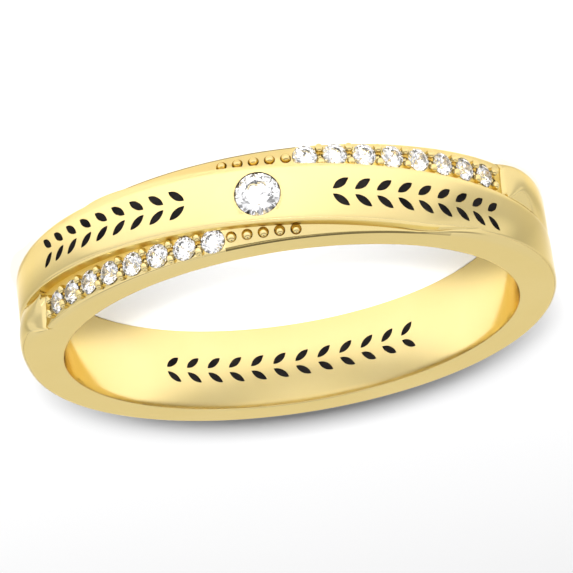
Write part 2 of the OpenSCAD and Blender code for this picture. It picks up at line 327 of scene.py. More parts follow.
@dataclass(frozen=True)
class BlackEnamel(Finish):
    """Glossy black enamel with a slightly uneven surface."""

    name: str = "black_enamel"
    black: Colour = (0.003, 0.0028, 0.003, 1.0)
    worn: Colour = (0.008, 0.007, 0.0065, 1.0)
    cloud_size: float = 0.0005
    cloud_span: Point = (0.32, 0.72)
    ripple_depth: float = 0.000003

    def fill(self, sheet: NodeSheet) -> None:
        """Fills the node tree.

        Args:
            sheet: the empty tree.
        """
        cloud = sheet.noise(sheet.place(), self.cloud_size, 3.0)
        sheet.surface(
            {
                "Base Color": sheet.blend(cloud.share(*self.cloud_span), self.black, self.worn),
                "Roughness": 0.3 + 0.2 * cloud,
                "Specular IOR Level": 0.0,
                "Normal": sheet.bump(cloud, self.ripple_depth, 0.3),
            }
        )


@dataclass(frozen=True)
class PaleFloor(Finish):
    """The plain pale floor, with painted shade beside the ring, where the plate's ends mirror it.

    The pairs give where a change starts and ends, in metres.
    """

    name: str = "pale_floor_painted_shade"
    pale: Colour = (0.87, 0.87, 0.875, 1.0)
    paler: Colour = (0.89, 0.89, 0.89, 1.0)
    cloud_size: float = 0.03
    # painted shade: a grey patch on the floor beside the ring, mirrored as darker ends of the plate
    painted_shade: Colour = (0.58, 0.58, 0.58, 1.0)
    painted_shade_lean: float = 1.15
    painted_shade_edge: Point = (0.0, 0.0032)
    painted_shade_back: Point = (0.006, 0.001)
    side_edge: Point = (0.0145, 0.01617)
    side_back: Point = (-0.0005, -0.0025)
    shown_edge: Point = (0.0106, 0.01203)
    shown_share: float = 0.5

    def fill(self, sheet: NodeSheet) -> None:
        """Fills the node tree.

        Args:
            sheet: the empty tree.
        """
        where = sheet.place()
        cloud = sheet.noise(where, self.cloud_size)
        apart = sheet.node("ShaderNodeSeparateXYZ", None, {0: where})
        across, along = apart.size(), Signal(sheet, apart.socket.node.outputs[1])
        beside = (across + along * self.painted_shade_lean).share(*self.painted_shade_edge)
        beyond = across.share(*self.side_edge) * along.share(*self.side_back)
        near = along.share(*self.painted_shade_back) * (1.0 - beyond)
        strength = self.shown_share + (1.0 - self.shown_share) * across.share(*self.shown_edge)
        ground = sheet.blend(cloud, self.pale, self.paler)
        # lays the painted shade over the floor beside the ring, at half strength close to the middle and full
        # further out
        colour = sheet.blend(beside * near * strength, ground, self.painted_shade)
        sheet.surface({"Base Color": colour, "Roughness": 0.9, "Specular IOR Level": 0.0})


# ---- Modelling helpers ----


class Cut(Enum):
    """What a tool solid does to the metal."""

    AWAY = "DIFFERENCE"
    ON = "UNION"


def deselect() -> None:
    """Leaves edit mode and deselects every object."""
    if bpy.context.object and bpy.context.object.mode != "OBJECT":
        bpy.ops.object.mode_set(mode="OBJECT")
    bpy.ops.object.select_all(action="DESELECT")


def pick(pieces: Iterable[Piece]) -> None:
    """Selects the pieces, the last one active.

    Args:
        pieces: the objects to select.
    """
    deselect()
    for piece in pieces:
        piece.select_set(True)
        bpy.context.view_layer.objects.active = piece


def tidy_mesh(piece: Piece, merge: float = 1e-7) -> None:
    """Merges doubled points and turns all faces outwards.

    Args:
        piece: the mesh object.
        merge: distance below which points are one.
    """
    pick([piece])
    bpy.ops.object.mode_set(mode="EDIT")
    bpy.ops.mesh.select_all(action="SELECT")
    bpy.ops.mesh.remove_doubles(threshold=merge)
    bpy.ops.mesh.normals_make_consistent(inside=False)
    bpy.ops.object.mode_set(mode="OBJECT")


def turned(name: str, profile: Sequence[Point], sides: int) -> Piece:
    """Turns a profile about Z: a disc is extruded and resized ring by ring.

    Args:
        name: name of the object.
        profile: (radius, height) pairs from the bottom up; a radius of 0 closes the top in a point.
        sides: sides of the round.

    Returns:
        The closed solid, in millimetres.
    """
    deselect()
    radius, height = profile[0]
    bpy.ops.mesh.primitive_circle_add(vertices=sides, radius=radius, fill_type="NGON", location=(0, 0, height))
    piece = bpy.context.object
    piece.name = name
    bpy.ops.object.transform_apply()
    bpy.ops.object.mode_set(mode="EDIT")
    bpy.ops.mesh.select_all(action="SELECT")
    for new_radius, new_height in profile[1:]:
        bpy.ops.mesh.extrude_region_move(TRANSFORM_OT_translate={"value": (0, 0, new_height - height)})
        if new_radius > 0:
            scale = new_radius / radius
            bpy.ops.transform.resize(value=(scale, scale, 1.0), center_override=(0, 0, new_height))
            radius = new_radius
        else:
            bpy.ops.mesh.merge(type="CENTER")
        height = new_height
    tidy_mesh(piece)
    return piece


def ball_profile(radius: float, centre: float, steps: int) -> list[Point]:
    """Gives the profile of a ball.

    Args:
        radius: radius of the ball.
        centre: height of its centre.
        steps: number of rings.

    Returns:
        (radius, height) pairs from the bottom up, closed at the top.
    """
    tiny = 0.02
    angles = [radians(180.0 * i / steps - 90.0) for i in range(steps)]
    rings = [(max(tiny * radius, radius * cos(a)), centre + radius * sin(a)) for a in angles]
    return rings + [(0.0, centre + radius)]


def copies(model: Piece, places: Iterable[Matrix], name: str) -> Piece:
    """Copies a model to many places and joins the copies.

    Args:
        model: the object to copy; it is removed.
        places: one matrix for each copy.
        name: name of the joined object.

    Returns:
        The joined object.
    """
    made = []
    for place in places:
        copy = model.copy()
        copy.data = model.data.copy()
        copy.data.transform(place)
        bpy.context.scene.collection.objects.link(copy)
        made.append(copy)
    bpy.data.objects.remove(model)
    pick(made)
    if len(made) > 1:
        bpy.ops.object.join()
    joined = bpy.context.object
    joined.name = name
    return joined


def work_metal(
    metal: Piece, model: Piece, places: Iterable[Matrix], name: str, cut: Cut
) -> None:
    """Cuts copies of a tool solid out of the metal, or joins them on.

    Args:
        metal: the object that is worked.
        model: the tool solid; it is removed.
        places: one matrix for each copy.
        name: name of the copies together.
        cut: what they do.
    """
    tool = copies(model, places, name)
    pick([metal])
    step = metal.modifiers.new("tool", "BOOLEAN")
    step.operation = cut.value
    step.solver = "MANIFOLD"
    step.object = tool
    before = len(metal.data.polygons)
    bpy.ops.object.modifier_apply(modifier="tool")
    log.info("  %s %s: %d faces to %d", name, cut.name.lower(), before, len(metal.data.polygons))
    bpy.data.objects.remove(tool)


# ---- The ring ----


@dataclass(frozen=True)
class BandShape:
    """Sizes and section curves of the cast band, in millimetres and degrees.

    Angles run from the centre stone. A side's own strand lies at negative angles.
    """

    bore_r: float = 8.65
    half_w: float = 1.71
    front_wall: float = 1.46
    side_wall: float = 1.48
    palm_wall: float = 1.68
    crown: float = 0.05
    shank_round: float = 0.34
    plate_w: float = 2.16
    run_out: float = 41.5
    edge_ease: float = 0.04
    edge_ease_w: float = 0.16
    strand_wall: float = 1.05
    stone_rise: float = 0.04
    trail_rise: float = 0.15
    full_rise_w: float = 0.6
    strand_round: float = 0.06
    lip_round: float = 0.16
    edge_rise: float = 0.16
    lip_h: float = 0.13
    lip_lead_in: float = 0.16
    lip_lead_out: float = 0.11
    lip_bow: float = 0.31
    groove_depth: float = 0.24
    groove_round: float = 0.8
    dip_power: float = 1.7
    shoulder_round: float = 0.34
    shoulder_rise: float = 0.22
    stone_count: int = 8
    stone_d: float = 0.86
    stone_pitch: float = 1.06
    stone_start: float = 1.8
    stone_proud: float = 0.07
    strand_tail: float = 1.0
    dome_l: float = 1.3
    trail_count: int = 5
    trail_gap: float = 0.67
    trail_pitch: float = 0.56
    trail_in: float = 0.05
    dip_gone: Point = (1.0, 12.0)
    trail_rise_over: Point = (-14.0, -7.0)
    edge_rise_from: float = 32.0
    lip_span: Point = (-0.35, 0.15)
    plain_over: Point = (88.0, 125.0)
    plain_past: Point = (-6.0, 14.0)
    draft: float = 0.04
    narrowest: float = 0.03
    side_gap: float = 0.005
    bore_ease: float = 0.045

    @property
    def strand_r(self) -> float:
        """Radius of the strands' surface."""
        return self.bore_r + self.strand_wall

    @property
    def climb(self) -> float:
        """Height that the plate's edge climbs in a quarter turn."""
        return (self.half_w - self.plate_w / 2) / sin(radians(self.run_out))

    @property
    def start_angle(self) -> float:
        """Angle of the first side stone."""
        return arc_angle(self.stone_start, self.strand_r)

    @property
    def end_angle(self) -> float:
        """Angle of the shoulder's lip."""
        length = (self.stone_count - 1) * self.stone_pitch + self.strand_tail
        return self.start_angle + arc_angle(length, self.strand_r)

    @property
    def dome_angle(self) -> float:
        """Angle of the shoulder's crest."""
        return self.end_angle + arc_angle(self.dome_l, self.strand_r)

    @property
    def edge_lost(self) -> float:
        """Angle at which the strand has narrowed to nothing."""
        return degrees(asin((self.half_w - self.narrowest - self.draft - self.plate_w / 2) / self.climb))

    def stone_angle(self, i: float) -> float:
        """Angle of side stone i, counted from 0."""
        return -self.start_angle - i * arc_angle(self.stone_pitch, self.strand_r)

    def trail_angle(self, i: float) -> float:
        """Angle of trail bead i, counted from 0."""
        return -self.start_angle + arc_angle(self.trail_gap + i * self.trail_pitch, self.strand_r)

    def plate_edge(self, t: float) -> float:
        """Distance of the plate's edge from the ring's middle plane at angle t."""
        return self.plate_w / 2 + self.climb * sin(radians(t))

    def strand_foot(self, t: float) -> float:
        """Distance of the foot of the plate's edge at angle t."""
        return min(self.plate_edge(t) + self.draft, self.half_w - self.narrowest)

    def plate_middle(self, t: float) -> float:
        """Height of the plate's middle line at angle t."""
        return (self.strand_foot(t) - self.strand_foot(-t)) / 2

    def strand_middle(self, t: float) -> float:
        """Height of the strand's middle line at angle t."""
        return (self.plate_edge(t) + self.half_w) / 2

    def row_z(self, t: float) -> float:
        """Height of a side stone's middle at angle t."""
        return min(self.strand_middle(t), self.half_w - self.side_gap - self.stone_d / 2)

    def surface_r(self, t: float, z: float) -> float:
        """Gives the outer surface before any cut.

        Args:
            t: angle.
            z: height.

        Returns:
            The radius.
        """
        end_wall = self.front_wall if abs(t) < 90 else self.palm_wall
        wall = self.side_wall + (end_wall - self.side_wall) * cos(radians(t)) ** 2
        return self.bore_r + wall - self.crown * (z / self.half_w) ** 2

    def eased_r(self, t: float, z: float, distance: float) -> float:
        """Radius of the plate at a distance from its slightly eased edge."""
        reach = 1 - min(1.0, distance / self.edge_ease_w)
        return self.surface_r(t, z) - self.edge_ease * reach**self.dip_power

    def sunk_r(self, t: float, z: float, distance: float) -> float:
        """Radius of the shoulder beside the plate, which starts low at the lip.

        Args:
            t: own angle of the side.
            z: height.
            distance: distance from the plate's edge.

        Returns:
            The radius.
        """
        dip = self.edge_ease + (self.groove_depth - self.edge_ease) * (1 - ease(*self.dip_gone, -t - self.end_angle))
        return self.surface_r(t, z) - dip * (1 - min(1.0, distance / self.groove_round)) ** self.dip_power

    def trail_z(self, t: float) -> float:
        """Height of a trail bead's middle at angle t."""
        return self.strand_middle(t) - self.trail_in

    def land_r(self, t: float, z: float) -> float:
        """Gives a strand's land: it slopes down to its outer edge, which turns up towards the lip.

        Args:
            t: own angle of the side.
            z: height.

        Returns:
            The radius.
        """
        foot = self.strand_foot(t)
        land = self.half_w - foot
        rise = self.stone_rise + (self.trail_rise - self.stone_rise) * ease(*self.trail_rise_over, t)
        turned_up = self.edge_rise * ease(self.edge_rise_from, self.end_angle, -t)
        across = (z - foot) / land
        return self.strand_r + rise * min(1.0, land / self.full_rise_w) * (1 - across) + turned_up * across**3

    def shoulder_share(self, t: float, s: float) -> float:
        """Tells how much of the section is shoulder.

        Args:
            t: own angle of the side.
            s: place across, 0 at the plate and 1 at the side face.

        Returns:
            The share.
        """
        lip_share = self.lip_h / (self.side_wall + self.shoulder_rise - self.strand_wall)
        lip = lip_share + (1 - lip_share) * (1 - s) ** 3
        wall = share_of(*self.lip_span, -t - self.end_angle)
        dome = 1 - (1 - share_of(self.end_angle + self.lip_span[1], self.dome_angle, -t)) ** 3
        return lip * wall + (1 - lip) * dome

    def plain_share(self, t: float) -> float:
        """Tells how much of the section is plain band.

        Args:
            t: own angle of the side.

        Returns:
            The share.
        """
        if t < 0:
            return ease(*self.plain_over, -t)
        return ease(*self.plain_past, t - self.edge_lost)


@dataclass(frozen=True)
class Columns:
    """How the points of a half section are shared out over its stretches."""

    plate: tuple[float, ...] = tuple(spread(13, 1.6))
    wall: tuple[float, ...] = (0.08, 0.3, 0.65)
    land: tuple[float, ...] = (0.0, 0.05, 0.14, 0.28, 0.45, 0.62, 0.8, 0.92)
    groove: tuple[float, ...] = (0.02, 0.045, 0.08)
    round: tuple[float, ...] = tuple(90.0 * i / 8 for i in range(9))

    @property
    def last(self) -> int:
        """Number of the last column."""
        return len(self.plate) + len(self.wall) + len(self.land) + len(self.round) - 1

    @property
    def shoulder(self) -> list[float]:
        """Shares from the groove to the rounding, where there is no strand."""
        count, last = len(self.land), self.groove[-1]
        return list(self.groove) + [last + (1 - last) * (i + 1) / (count + 1) for i in range(count)]


@dataclass
class Band:
    """The cast band with its seats, cups, prongs, beads, rim and engraved leaf pockets."""

    shape: BandShape = field(default_factory=BandShape)
    columns: Columns = field(default_factory=Columns)
    finish: Finish = field(default_factory=PolishedGold)
    # recesses: satin gold with a painted warm reflection
    channel_reflection_finish: Finish = field(default_factory=ChannelGoldPaintedReflection)
    # outer strand edge: gold with a painted dark reflection
    edge_shade_reflection_finish: Finish = field(default_factory=EdgeGoldPaintedShadeReflection)
    centre_d: float = 1.58
    rim_w: float = 0.07
    seat_gap: float = 0.02
    prong_along: float = 0.29
    prong_across: float = 0.35
    prong_gap: float = 0.54
    prong_h: float = 0.23
    scoop_d: float = 0.4
    scoop_depth: float = 0.2
    bead_first: float = 0.34
    bead_last: float = 0.28
    bead_sunk: float = 0.02
    dish_w: float = 0.39
    dish_depth: float = 0.12
    plate_pairs: int = 9
    inside_pairs: int = 12
    leaf_start: float = 2.5
    leaf_pitch: float = 0.79
    inside_pitch: float = 0.92
    inside_angle: float = 184.4
    leaf_l: float = 0.68
    leaf_w: float = 0.26
    leaf_slant: float = 36.0
    leaf_offset: float = 0.31
    leaf_depth: float = 0.1
    leaf_gap: float = 0.012
    rounding_grows: Point = (4.0, 50.0)
    rounding_share: float = 0.6
    evened_over: Point = (60.0, 150.0)
    lip_bow_fades: Point = (0.5, 8.0)
    row_step: float = 0.75
    lip_rows: tuple[tuple[float, float, float], ...] = ((-0.9, -0.36, 0.1), (-0.35, 0.151, 0.05), (0.3, 6.0, 0.3))
    side_rows: tuple[float, float, float] = (6.5, 128.0, 1.0)
    back_rows: tuple[float, float, float] = (130.0, 179.5, 2.0)
    finish_margin: float = 2.0
    lip_clear: float = 0.9
    smooth_to: float = 32.0

    # Section curves

    def plate_part(self, t: float, edge: float) -> list[Point]:
        """Lays out the plate from its middle to its edge.

        Args:
            t: own angle of the side.
            edge: height of its edge.

        Returns:
            The (height, radius) points.
        """
        s = self.shape
        middle = s.plate_middle(t)
        heights = [middle + (edge - middle) * k for k in self.columns.plate]
        return [(z, s.eased_r(t, z, edge - z)) for z in heights]

    def rounded_end(self, radius: float, rounding: float) -> list[Point]:
        """Lays out the outer rounding down to the side face.

        Args:
            radius: radius at which it starts.
            rounding: its own radius.

        Returns:
            The (height, radius) points.
        """
        half_w = self.shape.half_w
        z, r = half_w - rounding, radius - rounding
        turns = [radians(a) for a in self.columns.round]
        return [(z + rounding * sin(a), r + rounding * cos(a)) for a in turns]

    def strand_outline(self, t: float) -> list[Point]:
        """Lays out the half section where the strand is open.

        Args:
            t: own angle of the side.

        Returns:
            The (height, radius) points.
        """
        s = self.shape
        foot = s.strand_foot(t)
        land = s.half_w - foot
        grown = ease(*self.rounding_grows, -t)
        rounding = min(s.strand_round + (s.lip_round - s.strand_round) * grown, land * self.rounding_share)
        top = s.eased_r(t, foot - s.draft, 0.0)
        bottom = s.land_r(t, foot)
        plate = self.plate_part(t, foot - s.draft)
        wall = [(foot - s.draft * (1 - k), top + (bottom - top) * k) for k in self.columns.wall]
        heights = [foot + (land - rounding) * k for k in self.columns.land]
        flat = [(z, s.land_r(t, z)) for z in heights]
        return plate + wall + flat + self.rounded_end(s.land_r(t, s.half_w - rounding), rounding)

    def shoulder_outline(self, t: float) -> list[Point]:
        """Lays out the half section where the shoulder stands beside the groove.

        Args:
            t: own angle of the side.

        Returns:
            The (height, radius) points.
        """
        s = self.shape
        edge = s.strand_foot(t) - s.draft
        land = s.half_w - s.shoulder_round - edge
        rise = s.shoulder_rise * (1 - ease(s.dome_angle, 90.0, -t))
        flat = []
        for k in self.columns.shoulder:
            z = edge + land * k
            flat.append((z, s.sunk_r(t, z, z - edge) + rise * k * (2 - k)))
        return self.plate_part(t, edge) + flat + self.rounded_end(s.surface_r(t, s.half_w) + rise, s.shoulder_round)

    def plain_point(self, t: float, q: float) -> Point:
        """Finds a point of the plain half section.

        Args:
            t: own angle of the side.
            q: 0 in the middle, 1 at the rounding and 2 at the side face.

        Returns:
            Its height and radius.
        """
        s = self.shape
        start = s.half_w - s.shank_round
        if q < 1:
            z = s.plate_middle(t) + (start - s.plate_middle(t)) * q
            return z, s.surface_r(t, z)
        a = radians((q - 1) * 90)
        return start + s.shank_round * sin(a), s.surface_r(t, start) - s.shank_round * (1 - cos(a))

    def plain_outline(self, t: float) -> list[Point]:
        """Lays out the half section of the plain band.

        Args:
            t: own angle of the side.

        Returns:
            The (height, radius) points.
        """
        s, c = self.shape, self.columns
        start = s.half_w - s.shank_round
        groove = (min(s.plate_edge(t), start - 0.1) - s.plate_middle(t)) / (start - s.plate_middle(t))
        near = [k * groove for k in c.plate] + [groove + (1 - groove) * k for k in c.shoulder]
        near += [1 + a / 90 for a in c.round]
        far = list(c.plate) + [1 + 0.6 * k for k in c.shoulder] + [1.6 + 0.4 * a / 90 for a in c.round]
        share = 0.0 if t < 0 else 1 - ease(*self.evened_over, t)
        return [self.plain_point(t, a * (1 - share) + b * share) for a, b in zip(near, far)]

    def half_outline(self, t: float) -> list[Point]:
        """Mixes the three half sections.

        Args:
            t: own angle of the side.

        Returns:
            The (height, radius) points.
        """
        s, columns = self.shape, self.columns
        plain = s.plain_share(t)
        span = [0.0] * len(columns.plate) + columns.shoulder + [1.0] * len(columns.round)
        points = []
        for a, b, c, k in zip(self.strand_outline(t), self.shoulder_outline(t), self.plain_outline(t), span):
            up = s.shoulder_share(t, k)
            cut = (a[0] + (b[0] - a[0]) * up, a[1] + (b[1] - a[1]) * up)
            points.append((cut[0] + (c[0] - cut[0]) * plain, cut[1] + (c[1] - cut[1]) * plain))
        return points

    def lip_shift(self, t: float, k: int) -> float:
        """Turns a column a little, which bows the lip.

        Args:
            t: own angle of the side.
            k: number of the column.

        Returns:
            The turn in degrees.
        """
        s, c = self.shape, self.columns
        inner = len(c.plate) - 1
        along = share_of(inner, c.last, k)
        near = 1 - ease(*self.lip_bow_fades, abs(t + s.end_angle))
        lead = s.lip_lead_in * (1 - along) * share_of(0, inner, k) + s.lip_lead_out * along
        return near * arc_angle(lead - 4 * s.lip_bow * along * (1 - along), s.strand_r)

    def rows(self) -> list[float]:
        """Places the sections round the band, closer together at the lips.

        Returns:
            Their angles in rising order.
        """
        end = self.shape.end_angle
        half = list(np.arange(self.row_step, end - 1.0, self.row_step))
        for start, stop, step in self.lip_rows:
            half += [end + d for d in np.arange(start, stop, step)]
        start, stop, step = self.side_rows
        half += list(np.arange(end + start, stop, step)) + list(np.arange(*self.back_rows))
        return [-a for a in reversed(half)] + [0.0] + half + [180.0]

    def section(self, a: float) -> list[tuple[float, float, float]]:
        """Closed section at ring angle a, as (angle, height, radius) points.

        Args:
            a: the ring angle in degrees.

        Returns:
            The loop: outer surface, one side face, the finger hole and the other side face.
        """
        s = self.shape
        low, high = self.half_outline(a), self.half_outline(-a)
        last = self.columns.last
        loop = [(a - self.lip_shift(-a, k), -high[k][0], high[k][1]) for k in range(last, 0, -1)]
        loop += [(a + self.lip_shift(a, k), low[k][0], low[k][1]) for k in range(last + 1)]
        hole = [(s.half_w, s.bore_r + 0.3)]
        for i in range(5):
            turn = radians(90 * i / 4)
            z, r = s.half_w - s.bore_ease * (1 - cos(turn)), s.bore_r + s.bore_ease * (1 - sin(turn))
            hole.append((z, r))
        hole += [(z, s.bore_r) for z in (1.35, 0.9, 0.45)]
        loop += [(a, z, r) for z, r in hole] + [(a, 0.0, s.bore_r)] + [(a, -z, r) for z, r in reversed(hole)]
        return loop

    def skin(self) -> Piece:
        """Bends a grid round the ring, row by row, and closes it.

        Returns:
            The uncut band.
        """
        loops = [self.section(a) for a in self.rows()]
        loops.append(loops[0])
        points = np.array([loop + [loop[0]] for loop in loops])
        turn = np.radians(points[..., 0])
        radius = points[..., 2]
        placed = np.stack([-radius * np.sin(turn), -radius * np.cos(turn), points[..., 1]], axis=-1)
        n_rows, n_columns = placed.shape[0] - 1, placed.shape[1] - 1
        deselect()
        bpy.ops.mesh.primitive_grid_add(x_subdivisions=n_rows, y_subdivisions=n_columns, size=2.0)
        piece = bpy.context.object
        flat = np.empty(len(piece.data.vertices) * 3)
        piece.data.vertices.foreach_get("co", flat)
        flat = flat.reshape(-1, 3)
        row = np.rint((flat[:, 0] + 1) / 2 * n_rows).astype(int)
        column = np.rint((flat[:, 1] + 1) / 2 * n_columns).astype(int)
        piece.data.vertices.foreach_set("co", placed[row, column].ravel())
        self.mark_channels(piece, row, column)
        tidy_mesh(piece, 1e-5)
        return piece

    def mark_channels(self, piece: Piece, row: np.ndarray, column: np.ndarray) -> None:
        """Gives the strands' walls and land the second finish, satin gold with a painted warm reflection, and their
        outer edge the third, gold with a painted dark reflection.

        Args:
            piece: the open grid.
            row: row number of each point.
            column: column number of each point.
        """
        s, c = self.shape, self.columns
        for finish in (self.finish, self.channel_reflection_finish, self.edge_shade_reflection_finish):
            piece.data.materials.append(finish.material())
        angles = self.rows()
        corner = len(c.plate) - 1
        wall, land = corner + len(c.wall) + 1, corner + len(c.wall) + len(c.land) - 2
        rim = c.last - len(c.round) + 1
        margin = 2 * self.finish_margin
        stones_from = s.start_angle + self.finish_margin
        for face in piece.data.polygons:
            t = angles[min(min(row[v] for v in face.vertices), len(angles) - 1)]
            steps = [column[v] - c.last + 1 for v in face.vertices]
            high = max(steps) <= 0
            own = -t if high else t
            near, far = min(abs(k) for k in steps), max(abs(k) for k in steps)
            reach = land if own < -stones_from else wall
            if near >= corner and far <= reach and self.lip_clear - s.end_angle < own < s.edge_lost:
                # recess faces: painted warm reflection
                face.material_index = 1
            if near >= rim and far <= c.last and margin - stones_from < own < s.edge_lost + margin:
                # outer edge faces: painted dark reflection
                face.material_index = 2

    # Places on the band

    def on_ring(self, a: float, z: float, r: float) -> Matrix:
        """Gives the place at a ring angle, height and radius, with Z outwards and Y along the finger."""
        stand = Matrix.Translation((0, -r, z)) @ Matrix.Rotation(pi / 2, 4, "X")
        return Matrix.Rotation(radians(-a), 4, "Z") @ stand

    def both_sides(self, places: Iterable[Matrix]) -> list[Matrix]:
        """Repeats the places on the other side, after a half turn about Y."""
        kept = list(places)
        return kept + [Matrix.Rotation(pi, 4, "Y") @ place for place in kept]

    def slope(self, t: float) -> float:
        """Slant of the strand's line against the band at angle t, in radians."""
        s = self.shape
        return atan(s.climb * cos(radians(t)) / s.strand_r) / 2

    def seat_model(self, diameter: float, rise: float) -> Piece:
        """Makes the room for a stone whose girdle's top is at height 0.

        Args:
            diameter: diameter of the stone.
            rise: height of the room above the girdle.

        Returns:
            The tool solid.
        """
        r = diameter / 2 + self.seat_gap
        girdle, deep = diameter * 0.03, diameter * 0.43 + self.seat_gap
        return turned("seat", [(0.01, -girdle - deep), (r, -girdle), (r, rise)], 64)

    def prong_places(self) -> list[Matrix]:
        """Places the prongs' feet, two between each two stones.

        Returns:
            The places on both sides.
        """
        s = self.shape
        found = []
        for i in range(s.stone_count):
            t = s.stone_angle(i + 0.5)
            for side in (-1, 1):
                z = min(s.row_z(t) + side * self.prong_gap / 2, s.half_w - self.prong_across / 2 - 0.01)
                place = self.on_ring(t, z, s.land_r(t, z))
                found.append(place @ Matrix.Rotation(self.slope(t), 4, "Z"))
        return self.both_sides(found)

    def prong_model(self) -> Piece:
        """Makes one prong: an oval post with a domed top.

        Returns:
            The prong.
        """
        r = self.prong_along / 2
        steps = [radians(90 * i / 7) for i in range(7)]
        dome = [(r * cos(a), self.prong_h - r + r * sin(a)) for a in steps]
        piece = turned("prong", [(r * 1.05, -0.3)] + dome + [(0.0, self.prong_h)], 28)
        piece.data.transform(Matrix.Diagonal((1.0, self.prong_across / self.prong_along, 1.0, 1.0)))
        return piece

    def leaf_model(self, gap: float) -> Piece:
        """Makes one leaf-shaped punch, pointed at both ends, that stands from -1 to +1 in height.

        Args:
            gap: room round the enamel.

        Returns:
            The punch.
        """
        half_l, half_b = self.leaf_l / 2 + 2 * gap, self.leaf_w / 2 + gap
        r = (half_l**2 + half_b**2) / (2 * half_b)
        reach = asin(half_l / r)
        steps = 14
        rim = []
        for side in (1, -1):
            for i in range(steps):
                a = side * (-reach + 2 * reach * i / steps)
                rim.append((r * sin(a), side * (r * cos(a) - r + half_b)))
        deselect()
        bpy.ops.mesh.primitive_circle_add(vertices=len(rim), radius=1.0, fill_type="NGON", location=(0, 0, -1))
        piece = bpy.context.object
        bpy.ops.object.transform_apply()
        for vertex, (x, y) in zip(piece.data.vertices, rim):
            vertex.co = (x, y, -1.0)
        bpy.ops.object.mode_set(mode="EDIT")
        bpy.ops.mesh.select_all(action="SELECT")
        bpy.ops.mesh.extrude_region_move(TRANSFORM_OT_translate={"value": (0, 0, 2)})
        tidy_mesh(piece)
        return piece

    def pair(self, place: Matrix) -> list[Matrix]:
        """Places the two leaves of a pair.

        Args:
            place: middle of the pair.

        Returns:
            Their places.
        """
        found = []
        for side in (-1, 1):
            lean = Matrix.Rotation(radians(side * self.leaf_slant), 4, "Z")
            found.append(place @ Matrix.Translation((0, side * self.leaf_offset, 0)) @ lean)
        return found

    def plate_leaves(self) -> list[Matrix]:
        """Places the punches on the plate, with their lower end at the engraving's floor.

        Returns:
            The places on both sides.
        """
        s = self.shape
        found = []
        for i in range(self.plate_pairs):
            a = arc_angle(self.leaf_start + (i + 0.5) * self.leaf_pitch, s.bore_r + s.front_wall)
            z = s.climb * sin(radians(a))
            slant = atan(s.climb * cos(radians(a)) / s.surface_r(a, 0))
            place = self.on_ring(a, z, s.surface_r(a, z) - self.leaf_depth + 1.0)
            found += self.pair(place @ Matrix.Rotation(pi - slant, 4, "Z"))
        return self.both_sides(found)

    def inside_leaves(self) -> list[Matrix]:
        """Places the punches in the finger hole, with their upper end at the engraving's floor.

        Returns:
            The places.
        """
        s = self.shape
        found = []
        for i in range(self.inside_pairs):
            shift = (i - (self.inside_pairs - 1) / 2) * self.inside_pitch
            a = self.inside_angle + arc_angle(shift, s.bore_r)
            found += self.pair(self.on_ring(a, 0, s.bore_r + self.leaf_depth - 1.0))
        return found

    def build(self) -> Piece:
        """Makes the whole band.

        Returns:
            The finished band, in metres.
        """
        s = self.shape
        metal = self.skin()
        metal.name = "band_metal"
        centre_r = s.bore_r + s.front_wall - s.crown
        stone_r = s.strand_r + s.stone_proud
        angles = [s.stone_angle(i) for i in range(s.stone_count)]
        places = self.both_sides(self.on_ring(t, s.row_z(t), stone_r) for t in angles)
        work_metal(metal, self.seat_model(s.stone_d, s.stone_d * 0.15), places, "seats", Cut.AWAY)
        middle = [self.on_ring(0, 0, centre_r)]
        work_metal(metal, self.seat_model(self.centre_d, 1.0), middle, "centre_seat", Cut.AWAY)
        trail = [s.trail_angle(i) for i in range(s.trail_count)]
        trail_places = [self.on_ring(t, s.trail_z(t), s.land_r(t, s.trail_z(t))) for t in trail]
        dish_r = (self.dish_w**2 / 4 + self.dish_depth**2) / (2 * self.dish_depth)
        dish = turned("dish", ball_profile(dish_r, dish_r - self.dish_depth, 40), 48)
        work_metal(metal, dish, self.both_sides(trail_places), "dishes", Cut.AWAY)
        leaves = self.plate_leaves() + self.inside_leaves()
        work_metal(metal, self.leaf_model(self.leaf_gap), leaves, "engraving", Cut.AWAY)
        work_metal(metal, self.prong_model(), self.prong_places(), "prongs", Cut.ON)
        scoop = turned("scoop", ball_profile(self.scoop_d / 2, self.scoop_d / 2 - self.scoop_depth, 12), 28)
        gaps = [s.stone_angle(i + 0.5) for i in range(s.stone_count)]
        scoop_places = self.both_sides(self.on_ring(t, s.row_z(t), s.land_r(t, s.row_z(t))) for t in gaps)
        work_metal(metal, scoop, scoop_places, "scoops", Cut.AWAY)
        beads = []
        for i, place in enumerate(trail_places):
            d = self.bead_first + (self.bead_last - self.bead_first) * i / (s.trail_count - 1)
            ball = turned("bead", ball_profile(d / 2, -self.bead_sunk, 16), 32)
            beads.append(copies(ball, self.both_sides([place]), "bead"))
        pick(beads)
        bpy.ops.object.join()
        work_metal(metal, bpy.context.object, [Matrix()], "beads", Cut.ON)
        work_metal(metal, self.rim_model(), middle, "rim", Cut.ON)
        metal.data.transform(Matrix.Scale(MM, 4))
        pick([metal])
        bpy.ops.object.shade_smooth_by_angle(angle=radians(self.smooth_to), keep_sharp_edges=False)
        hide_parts("band")
        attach(metal, "root")
        return metal

    def rim_model(self) -> Piece:
        """Makes the low rim round the centre stone, a half-round ring.

        Returns:
            The rim.
        """
        inner = self.centre_d / 2 + self.seat_gap + 0.004
        middle, half = inner + self.rim_w / 2, self.rim_w / 2
        deselect()
        bpy.ops.mesh.primitive_torus_add(
            major_radius=middle, minor_radius=half, major_segments=72, minor_segments=16, location=(0, 0, -0.005)
        )
        bpy.ops.object.transform_apply()
        return bpy.context.object


